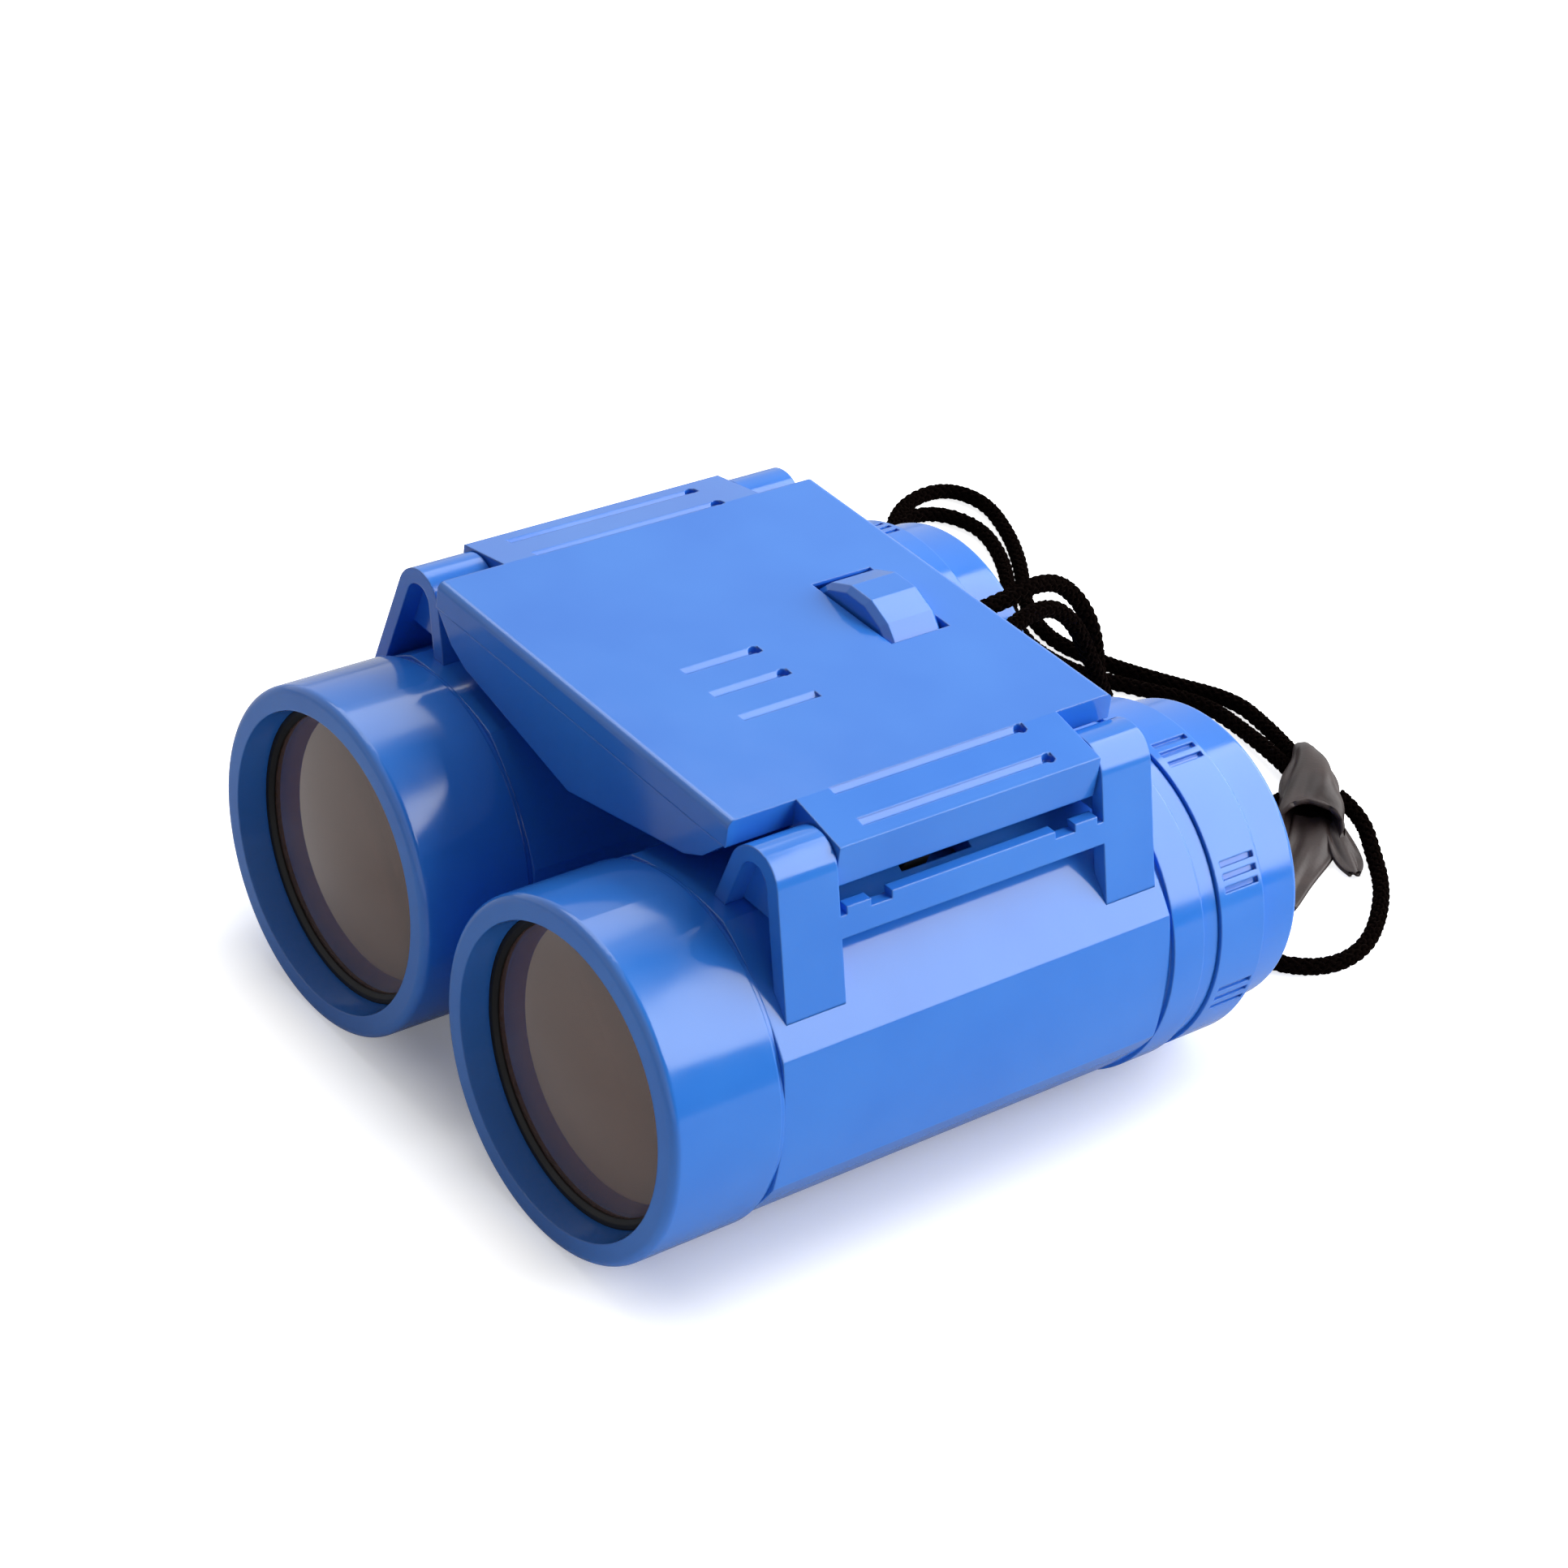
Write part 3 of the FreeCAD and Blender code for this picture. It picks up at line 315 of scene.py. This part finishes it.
def braid_tree():
    """Strands that wind both ways round a cord's line, over and under each other, on a core."""
    tree, given, result = node_tree("braid", (
        ("Radius", "Float"), ("Strand Radius", "Float"), ("Weave Depth", "Float"), ("Twist Length", "Float"),
        ("Step", "Float"), ("Strands", "Int"), ("Material", "Material")))
    even = add_node(tree, "GeometryNodeResampleCurve", {"mode": "LENGTH"},
                    {"Curve": given["Geometry"], "Length": given["Step"]})
    many = add_node(tree, "GeometryNodeDuplicateElements", {"domain": "SPLINE"},
                    {"Geometry": even.outputs[0], "Amount": given["Strands"]})
    values = {socket.name: socket for socket in given}
    values["number"] = many.outputs["Duplicate Index"]
    values["along"] = add_node(tree, "GeometryNodeSplineParameter").outputs["Length"]
    for name, operation, *terms in BRAID_SUMS:
        settings = {index: term for index, term in enumerate(terms) if not isinstance(term, str)}
        links = {index: values[term] for index, term in enumerate(terms) if isinstance(term, str)}
        total = add_node(tree, "ShaderNodeMath", {"operation": operation, **settings}, links)
        values[name] = total.outputs[0]
    normal = add_node(tree, "GeometryNodeInputNormal").outputs["Normal"]
    tangent = add_node(tree, "GeometryNodeInputTangent").outputs["Tangent"]
    side = add_node(tree, "ShaderNodeVectorMath", {"operation": "CROSS_PRODUCT"}, {0: tangent, 1: normal})
    parts = []
    for direction, share in ((normal, "out"), (side.outputs[0], "aside")):
        part = add_node(tree, "ShaderNodeVectorMath", {"operation": "SCALE"},
                        {0: direction, "Scale": values[share]})
        parts.append(part.outputs[0])
    offset = add_node(tree, "ShaderNodeVectorMath", {"operation": "ADD"}, {0: parts[0], 1: parts[1]})
    wound = add_node(tree, "GeometryNodeSetPosition",
                     links={"Geometry": many.outputs[0], "Offset": offset.outputs[0]})
    whole = add_node(tree, "GeometryNodeJoinGeometry")
    for line, radius, sides in ((wound.outputs[0], given["Strand Radius"], STRAND_SIDES),
                                (even.outputs[0], values["core"], CORE_SIDES)):
        ring = add_node(tree, "GeometryNodeCurvePrimitiveCircle", {"Resolution": sides}, {"Radius": radius})
        tube = add_node(tree, "GeometryNodeCurveToMesh", {"Fill Caps": True},
                        {"Curve": line, "Profile Curve": ring.outputs[0]})
        tree.links.new(tube.outputs[0], whole.inputs[0])
    finished_tree(tree, whole.outputs[0], given, result)
    return tree


def line_object(name, points, cyclic):
    """A smooth curve with these control points, in millimetres."""
    curve = bpy.data.curves.new(name, "CURVE")
    curve.dimensions = "3D"
    spline = curve.splines.new("NURBS")
    spline.points.add(len(points) - 1)
    for point, place in zip(spline.points, points):
        point.co = (*(Vector(place) * MM), 1.0)
    spline.order_u = 3
    spline.use_cyclic_u = cyclic
    spline.use_endpoint_u = not cyclic
    spline.resolution_u = LINE_STEPS
    line = bpy.data.objects.new(name + "_line", curve)
    bpy.context.scene.collection.objects.link(line)
    bpy.context.view_layer.update()
    return line


def braided(name, points, tree, finish, cyclic=False):
    """A braided cord along a smooth line, with that line's points."""
    line = line_object(name, points, cyclic)
    smooth = bpy.data.meshes.new_from_object(line.evaluated_get(bpy.context.evaluated_depsgraph_get()))
    path = [vertex.co.copy() for vertex in smooth.vertices]
    bpy.data.meshes.remove(smooth)
    mesh = grown(line, tree, {
        "Radius": CORD_RADIUS * MM, "Strand Radius": STRAND_RADIUS * MM, "Weave Depth": WEAVE_DEPTH * MM,
        "Twist Length": TWIST_LENGTH * MM, "Step": BRAID_STEP * MM, "Strands": STRANDS, "Material": finish})
    bpy.data.objects.remove(line)
    piece = bpy.data.objects.new(name, mesh)
    bpy.context.scene.collection.objects.link(piece)
    return piece, path


def mesh_object(name, mesh):
    """A smooth-shaded object from a mesh that is being built."""
    data = bpy.data.meshes.new(name)
    mesh.to_mesh(data)
    mesh.free()
    data.shade_smooth()
    piece = bpy.data.objects.new(name, data)
    bpy.context.scene.collection.objects.link(piece)
    return piece


def dress(piece, material):
    piece.data.materials.clear()
    piece.data.materials.append(material)


def dress_node(name, material):
    """Gives a solid of the frame its material."""
    slots = NODES[name].material_slots
    if not slots:
        NODES[name].data.materials.append(material)
        return
    for slot in slots:
        slot.material = material


def neck_cord(tree, finish):
    """The three stretches of the cord, each with its real length."""
    for name, route, node in (("outer_stretch", OUTER_ROUTE, "neck_cord_outer"),
                              ("loop_stretch", LOOP_ROUTE, "neck_cord_loop"),
                              ("inner_stretch", INNER_ROUTE, "neck_cord_inner")):
        piece, path = braided(name, route, tree, finish)
        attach(piece, "bridge")
        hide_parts(node)


# The knot that joins the stretches: three lobes of cord drawn tight
KNOT_MIDDLE = (1.2, 102.2, 2.9)
KNOT_REACH = (2.3, 2.3, 1.5)
KNOT_POINTS = 36


def cord_knot(tree, finish):
    """A trefoil, the plainest closed knot, brought to its middle and reach."""
    shape = []
    for step in range(KNOT_POINTS):
        angle = math.tau * step / KNOT_POINTS
        shape.append((math.sin(angle) + 2 * math.sin(2 * angle), math.cos(angle) - 2 * math.cos(2 * angle),
                      -math.sin(3 * angle)))
    lows = [min(point[axis] for point in shape) for axis in range(3)]
    highs = [max(point[axis] for point in shape) for axis in range(3)]
    points = []
    for point in shape:
        place = []
        for axis in range(3):
            share = 2 * (point[axis] - lows[axis]) / (highs[axis] - lows[axis]) - 1
            place.append(KNOT_MIDDLE[axis] + KNOT_REACH[axis] * share)
        points.append(place)
    piece, _ = braided("drawn_knot", points, tree, finish, cyclic=True)
    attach(piece, "bridge")
    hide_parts("cord_knot")


# The vinyl tab: a sleeve drawn over the knot, open towards the front, a tail that leaves its lower lip for
# the floor, and a small rounded lobe beside it. Each strip row is a place on its middle, half its width, and
# the way across it. Each sleeve row is a place on its axis, half its width and half its height.
TAIL_STRIP = [
    (8.4, 97.6, 2.4, 3.4, 42), (10.6, 95.6, 1.9, 3.8, 38), (12.4, 93.0, 1.5, 3.7, 32),
    (14.2, 89.4, 1.0, 3.3, 27), (16.4, 85.4, 0.8, 2.9, 25), (19.0, 81.4, 0.7, 2.5, 24),
    (20.0, 79.8, 0.7, 2.2, 24),
]
LOBE_STRIP = [
    (10.4, 99.0, 2.4, 1.8, 78), (13.6, 97.6, 2.0, 2.2, 74), (16.2, 96.2, 1.6, 2.4, 68),
    (18.4, 95.2, 1.2, 2.0, 64), (19.9, 94.5, 0.9, 0.9, 62),
]
SLEEVE = [
    (-5.2, 108.2, 2.6, 1.3, 1.6), (-2.6, 106.2, 3.4, 2.0, 2.2), (0.8, 103.4, 3.9, 3.2, 2.8),
    (4.2, 100.4, 4.0, 4.0, 3.1), (7.2, 97.6, 3.6, 4.2, 2.9), (9.4, 95.4, 3.1, 4.3, 2.6),
    (10.4, 94.4, 2.9, 4.7, 2.7),
]
SLEEVE_AXIS = (0.77, -0.64)
SLEEVE_SLANT = 4.0
SLEEVE_SIDES = 40
STRIP_THICKNESS = 0.8
STRIP_ROWS = 44
STRIP_COLUMNS = 12

# Creases are waves, each with its share of the height, its waves across and its drift along. On a strip they
# rise over the first sixth and fade towards the free end. On the sleeve they are a share of its width.
STRIP_CREASES = ((1.0, 5.0, 3.0), (0.5, 9.0, -7.0))
SLEEVE_CREASES = ((1.0, 3, 8), (0.7, 6, -11), (0.4, 2, 19))
CREASE_HEIGHT = 0.35
CREASE_RISE = 6
CREASE_FADE = 0.7
EDGE_CURL = 0.5
SLEEVE_SWELL = 0.10
SWELL_START = 0.1
SWELL_FADE = 0.6


def creased(creases, across, along):
    return sum(height * math.sin(waves * across + drift * along) for height, waves, drift in creases)


def smooth_row(rows, share):
    """Values a share of the way down some rows, by a cubic B-spline that starts and ends on them."""
    padded = [rows[0]] * 2 + list(rows) + [rows[-1]] * 2
    place = share * (len(padded) - 3)
    first = min(int(place), len(padded) - 4)
    t = place - first
    weights = ((1 - t) ** 3 / 6, (3 * t ** 3 - 6 * t ** 2 + 4) / 6,
               (-3 * t ** 3 + 3 * t ** 2 + 3 * t + 1) / 6, t ** 3 / 6)
    near = padded[first:first + 4]
    return [sum(weight * row[column] for weight, row in zip(weights, near)) for column in range(len(rows[0]))]


def vinyl_strip(name, rows, finish):
    """A soft strip with long creases that fade towards its free end."""
    mesh = bmesh.new()
    grid = []
    for row in range(STRIP_ROWS + 1):
        share = row / STRIP_ROWS
        x, y, z, half, turn = smooth_row(rows, share)
        across = Vector((math.cos(math.radians(turn)), math.sin(math.radians(turn)), 0))
        fade = (1 - share) ** CREASE_FADE
        grow = min(1.0, CREASE_RISE * share)
        line = []
        for column in range(STRIP_COLUMNS + 1):
            v = 2 * column / STRIP_COLUMNS - 1
            crease = creased(STRIP_CREASES, v, share)
            lift = (CREASE_HEIGHT * crease - EDGE_CURL * v * v) * fade * grow
            place = Vector((x, y, max(z + lift, STRIP_THICKNESS / 2))) + across * half * v
            line.append(mesh.verts.new(place * MM))
        grid.append(line)
    for near, far in zip(grid, grid[1:]):
        for column in range(STRIP_COLUMNS):
            mesh.faces.new((near[column], near[column + 1], far[column + 1], far[column]))
    vinyl_piece(name, mesh, finish)


def vinyl_sleeve(name, finish):
    """A flattened sleeve with twisted creases, whose open end is cut at a slant and turns outwards."""
    axis = Vector((*SLEEVE_AXIS, 0)).normalized()
    across = Vector((-axis.y, axis.x, 0))
    mesh = bmesh.new()
    rings = []
    for row in range(STRIP_ROWS + 1):
        share = row / STRIP_ROWS
        x, y, z, half, rise = smooth_row(SLEEVE, share)
        fade = math.sin(math.pi * min(1.0, share + SWELL_START)) ** SWELL_FADE
        ring = []
        for side in range(SLEEVE_SIDES):
            angle = math.tau * side / SLEEVE_SIDES
            swell = 1 + SLEEVE_SWELL * creased(SLEEVE_CREASES, angle, share) * fade
            slant = -SLEEVE_SLANT * math.sin(angle) * share ** 3
            place = Vector((x, y, z)) + across * half * swell * math.cos(angle) + axis * slant
            place.z = max(place.z + rise * swell * math.sin(angle), STRIP_THICKNESS / 2)
            ring.append(mesh.verts.new(place * MM))
        rings.append(ring)
    for near, far in zip(rings, rings[1:]):
        for side in range(SLEEVE_SIDES):
            following = (side + 1) % SLEEVE_SIDES
            mesh.faces.new((near[side], near[following], far[following], far[side]))
    vinyl_piece(name, mesh, finish)


def vinyl_piece(name, mesh, finish):
    """Gives a sheet its thickness and its finish, and puts it in the tab's place."""
    bmesh.ops.recalc_face_normals(mesh, faces=mesh.faces)
    piece = mesh_object(name, mesh)
    wall = piece.modifiers.new("thickness", "SOLIDIFY")
    wall.thickness = STRIP_THICKNESS * MM
    wall.offset = 0.0
    rounding = piece.modifiers.new("rounding", "SUBSURF")
    rounding.levels = 1
    rounding.render_levels = 1
    dress(piece, finish)
    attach(piece, "bridge")
    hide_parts("cord_tab")


def camera():
    """A camera that sees the part as the photograph does."""
    azimuth = math.radians(VIEW_AZIMUTH)
    elevation = math.radians(VIEW_ELEVATION)
    roll = math.radians(VIEW_ROLL)
    level = Vector((math.cos(azimuth), math.sin(azimuth), 0))
    flat = math.cos(elevation)
    back = Vector((math.sin(azimuth) * flat, -math.cos(azimuth) * flat, math.sin(elevation)))
    rise = back.cross(level)
    right = level * math.cos(roll) + rise * math.sin(roll)
    up = rise * math.cos(roll) - level * math.sin(roll)
    data = bpy.data.cameras.new("photo_camera")
    data.sensor_width = SENSOR_WIDTH
    data.lens = FOCAL_PIXELS / IMAGE_PIXELS * SENSOR_WIDTH
    data.clip_start = NEAREST_SEEN * MM
    holder = bpy.data.objects.new("photo_camera", data)
    rims = Vector((0, FRONT_RIM_DEPTH, 0))
    place = (right * VIEW_SIDE + up * VIEW_RISE + back * VIEW_DISTANCE - rims) * MM
    rows = [(right[axis], up[axis], back[axis], place[axis]) for axis in range(3)]
    holder.matrix_world = Matrix((*rows, (0, 0, 0, 1)))
    bpy.context.scene.collection.objects.link(holder)
    bpy.context.scene.camera = holder


# Two soft boxes: a wide one stands low behind the part's left, where the photograph's highlights reflect it,
# and a weaker one hangs high over its right. Angles are in degrees, and lengths in metres.
SOFT_BOXES = {
    "back_soft_box": {"azimuth": 24.0, "elevation": 34.0, "distance": 0.9, "width": 1.1, "height": 0.78,
                      "lean": 15.0, "glow": 5.2},
    "high_soft_box": {"azimuth": -70.0, "elevation": 60.0, "distance": 1.0, "width": 0.7, "height": 0.7,
                      "lean": 0.0, "glow": 2.4},
}

# The room is white to the eye and in mirrors, but lights the part with only this share of its white. In
# mirrors it has a dark corner round this direction, where the wide soft box stands. The corner darkens
# between these cosines of the angle from that direction.
ROOM_LIGHT = 0.18
CORNER_AZIMUTH = 46.0
CORNER_ELEVATION = 30.0
CORNER_PALE = 0.55
CORNER_DARK = 0.70
CORNER_GLOW = 0.08

# The floor is matt white paint and keeps the part's shadow. Outside the part's footprint it grows as pale as
# the room, over the shadow's reach, by a glow that only the camera, mirrors and lenses see. In mirrors paint
# and glow are darker, so that the blue keeps its depth.
FOOTPRINT_MIDDLE = (0.0, 5.0)
FOOTPRINT_HALF = (40.0, 46.0)
SHADOW_REACH = 22.0
NEAR_GLOW = 0.16
FAR_GLOW = 0.85
MIRRORED_GLOW = 0.3
FLOOR_PAINT = 0.9
MIRRORED_PAINT = 0.36
FLOOR_RADIUS = 4.0
FLOOR_SIDES = 96


def way_to(azimuth, elevation):
    """A direction by its turn from +Y towards +X and its height over the floor."""
    turn = math.radians(azimuth)
    flat = math.cos(math.radians(elevation))
    return Vector((math.sin(turn) * flat, math.cos(turn) * flat, math.sin(math.radians(elevation))))


def soft_box(name, azimuth, elevation, distance, width, height, lean, glow):
    """A studio soft box that faces the part. Its power gives the same glow at any size."""
    data = bpy.data.lights.new(name, "AREA")
    data.shape = "RECTANGLE"
    data.size = width
    data.size_y = height
    data.energy = glow * math.pi * width * height
    lamp = bpy.data.objects.new(name, data)
    way = way_to(azimuth, elevation)
    lamp.location = way * distance
    leaning = Quaternion((0, 0, 1), math.radians(lean))
    lamp.rotation_euler = ((-way).to_track_quat("-Z", "Y") @ leaning).to_euler()
    lamp.visible_camera = False
    bpy.context.scene.collection.objects.link(lamp)


def pale_room():
    """White walls to the eye and in mirrors, but for the dark corner that the soft box stands in."""
    world = bpy.data.worlds.new("pale_room")
    world.use_nodes = True
    tree = world.node_tree
    tree.nodes.clear()
    ray = add_node(tree, "ShaderNodeLightPath").outputs
    way = add_node(tree, "ShaderNodeTexCoord").outputs["Generated"]
    beside = add_node(tree, "ShaderNodeVectorMath",
                      {"operation": "DOT_PRODUCT", 1: way_to(CORNER_AZIMUTH, CORNER_ELEVATION)}, {0: way})
    corner = add_node(tree, "ShaderNodeMapRange",
                      {"From Min": CORNER_PALE, "From Max": CORNER_DARK,
                       "To Min": 1.0, "To Max": CORNER_GLOW}, {"Value": beside.outputs["Value"]})
    mirrored = add_node(tree, "ShaderNodeMapRange", {"To Min": ROOM_LIGHT},
                        {"Value": ray["Is Glossy Ray"], "To Max": corner.outputs["Result"]})
    seen = add_node(tree, "ShaderNodeMath", {"operation": "MAXIMUM"},
                    {0: ray["Is Camera Ray"], 1: ray["Is Transmission Ray"]})
    strength = add_node(tree, "ShaderNodeMapRange", {"To Max": 1.0},
                        {"Value": seen.outputs[0], "To Min": mirrored.outputs["Result"]})
    glow = add_node(tree, "ShaderNodeBackground", {"Color": (1, 1, 1, 1)},
                    {"Strength": strength.outputs["Result"]})
    add_node(tree, "ShaderNodeOutputWorld", links={"Surface": glow.outputs[0]})
    bpy.context.scene.world = world


def white_floor():
    """A matt white floor that keeps the part's shadow."""
    material, tree, place, surface = new_material("white_floor")
    ray = add_node(tree, "ShaderNodeLightPath").outputs
    tone = add_node(tree, "ShaderNodeMapRange", {"To Min": FLOOR_PAINT, "To Max": MIRRORED_PAINT},
                    {"Value": ray["Is Glossy Ray"]})
    paint = add_node(tree, "ShaderNodeBsdfDiffuse", links={"Color": tone.outputs["Result"]})
    away = add_node(tree, "ShaderNodeVectorMath",
                    {"operation": "SUBTRACT", 1: Vector((*FOOTPRINT_MIDDLE, 0)) * MM}, {0: place})
    reach = add_node(tree, "ShaderNodeVectorMath", {"operation": "ABSOLUTE"}, {0: away.outputs[0]})
    beyond = add_node(tree, "ShaderNodeVectorMath",
                      {"operation": "SUBTRACT", 1: Vector((*FOOTPRINT_HALF, 0)) * MM}, {0: reach.outputs[0]})
    outside = add_node(tree, "ShaderNodeVectorMath", {"operation": "MAXIMUM", 1: (0, 0, 0)},
                       {0: beyond.outputs[0]})
    distance = add_node(tree, "ShaderNodeVectorMath", {"operation": "LENGTH"}, {0: outside.outputs[0]})
    pale = add_node(tree, "ShaderNodeMapRange",
                    {"interpolation_type": "SMOOTHSTEP", "From Max": SHADOW_REACH * MM,
                     "To Min": NEAR_GLOW, "To Max": FAR_GLOW}, {"Value": distance.outputs["Value"]})
    mirrored = add_node(tree, "ShaderNodeMath", {"operation": "MULTIPLY", 1: MIRRORED_GLOW},
                        {0: ray["Is Glossy Ray"]})
    indirect = add_node(tree, "ShaderNodeMath", {"operation": "MAXIMUM"},
                        {0: mirrored.outputs[0], 1: ray["Is Transmission Ray"]})
    shown = add_node(tree, "ShaderNodeMath", {"operation": "MAXIMUM"},
                     {0: ray["Is Camera Ray"], 1: indirect.outputs[0]})
    strength = add_node(tree, "ShaderNodeMath", {"operation": "MULTIPLY"},
                        {0: shown.outputs[0], 1: pale.outputs["Result"]})
    glow = add_node(tree, "ShaderNodeEmission", {"Color": (1, 1, 1, 1)}, {"Strength": strength.outputs[0]})
    both = add_node(tree, "ShaderNodeAddShader", links={0: paint.outputs[0], 1: glow.outputs[0]})
    tree.links.new(both.outputs[0], surface)
    mesh = bmesh.new()
    bmesh.ops.create_circle(mesh, cap_ends=True, segments=FLOOR_SIDES, radius=FLOOR_RADIUS)
    floor = mesh_object("floor", mesh)
    dress(floor, material)


# Glossy sky blue from a polished tool
blue = moulded_plastic("blue_abs", "#2E78DA", "#3780DF", 0.10, 0.16)
# Black from an etched tool, so matt that it mirrors little
black = moulded_plastic("black_abs", "#09090B", "#0E0E10", 0.5, 0.6, mirror=MATT_MIRROR)
# Milky white without pigment, satin where it slides
acetal = moulded_plastic("natural_acetal", "#DAD8D0", "#E2E0D8", 0.4, 0.5)
nylon = braided_nylon()
vinyl = soft_vinyl()
# Smoke brown under a hard coat, half clear and half pigment
smoke = cast_acrylic("smoked_acrylic", "#8A695D", 0.5, 0.03, 0.9)
# Clear and uncoated
clear = cast_acrylic("clear_acrylic", "#D8D4D0", 1.0, 0.02, 0.0)
# Bright from the drawing die
wire = drawn_steel("bright_steel_wire", "#B9BCC0", 0.25)
# Greyer and duller under its plating
zinc = drawn_steel("zinc_plated_steel", "#A8AAAE", 0.35)

for side in ("left_", "right_"):
    for name in ("objective_bell", "barrel_body", "rear_collar", "hinge_bracket", "eyepiece_tube",
                 "grip_ring", "eyecup"):
        dress_node(side + name, blue)
    for name in ("lens_ring", "light_baffle", "focus_arm"):
        dress_node(side + name, black)
    dress_node(side + "objective_lens", smoke)
    dress_node(side + "ocular_lens", clear)
    dress_node(side + "hinge_pin", wire)
for name in ("top_cover", "lower_cover", "focus_wheel"):
    dress_node(name, blue)
dress_node("focus_carriage", acetal)
dress_node("cover_screws", zinc)
dress_node("wheel_shaft", zinc)
dress_node("cord_bushes", black)
dress_node("cord_end_knots", nylon)

bpy.context.scene.view_settings.view_transform = "Standard"
camera()
braid = braid_tree()
neck_cord(braid, nylon)
cord_knot(braid, nylon)
vinyl_sleeve("tab_sleeve", vinyl)
vinyl_strip("tab_tail", TAIL_STRIP, vinyl)
vinyl_strip("tab_lobe", LOBE_STRIP, vinyl)
for name, settings in SOFT_BOXES.items():
    soft_box(name, **settings)
pale_room()
white_floor()
